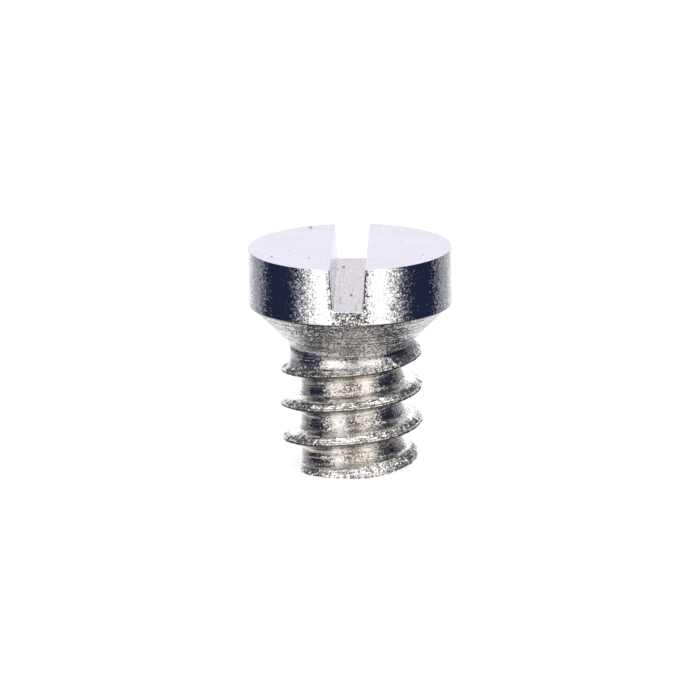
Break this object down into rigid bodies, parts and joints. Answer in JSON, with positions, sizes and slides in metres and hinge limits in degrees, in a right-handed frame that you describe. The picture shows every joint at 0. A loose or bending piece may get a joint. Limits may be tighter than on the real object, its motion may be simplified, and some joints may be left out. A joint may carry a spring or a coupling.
{
  "type": "watch movement screw",
  "caption": "Tiny turned steel screw with a slotted cylindrical head, a bevelled underside, a short neck and a coarse right-hand thread with a flat cut end.",
  "frame": {"origin": "centre of the flat cut end, at the lower end of the thread", "axes": "+Z along the screw's axis from the cut end to the head; the slot runs along Y, turned 1.7 degrees; the picture looks along +Y from a little above"},
  "size_m": [0.0014, 0.0014, 0.0016],
  "materials": {
    "polished_steel": "polished head, fine turning lines on the bevel and neck, slightly rough rolled thread"
  },
  "bodies": {
    "root": {"screw": "polished_steel"}
  },
  "joints": []
}
